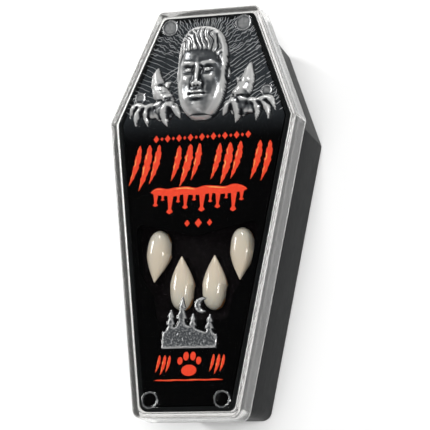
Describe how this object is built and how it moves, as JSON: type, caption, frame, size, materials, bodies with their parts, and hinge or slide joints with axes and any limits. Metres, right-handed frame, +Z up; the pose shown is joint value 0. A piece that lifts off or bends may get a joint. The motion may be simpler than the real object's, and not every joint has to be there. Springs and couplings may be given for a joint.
{
  "type": "werewolf fangs in a coffin-shaped case",
  "caption": "Hollow, pointed tooth caps worn over the canines, on a foam pad in a coffin-shaped tray with a clear lift-off lid that carries a raised head and clawed hands.",
  "frame": {"origin": "middle of the tray's base, on the surface that the case lies on", "axes": "+X across the case, +Y towards its head end, +Z up through the lid"},
  "size_m": [0.063, 0.1308, 0.0448],
  "materials": {
    "tray_plastic": "charcoal black, satin moulded",
    "pad_foam": "flocked, near black",
    "fang_plastic": "ivory, glossy",
    "lid_plastic": "clear, polished",
    "panel_card": "black print with orange artwork, satin"
  },
  "bodies": {
    "case": {"tray": "tray_plastic", "foam_pad": "pad_foam", "fang_upper_left": "fang_plastic", "fang_upper_right": "fang_plastic", "fang_lower_left": "fang_plastic", "fang_lower_right": "fang_plastic"},
    "cover": {"lid": "lid_plastic", "printed_panel": "panel_card"}
  },
  "joints": [
    {"name": "lid_lift", "type": "slide", "parent": "case", "child": "cover", "axis": [0, 0, 1], "range_m": [0, 0.04]}
  ]
}
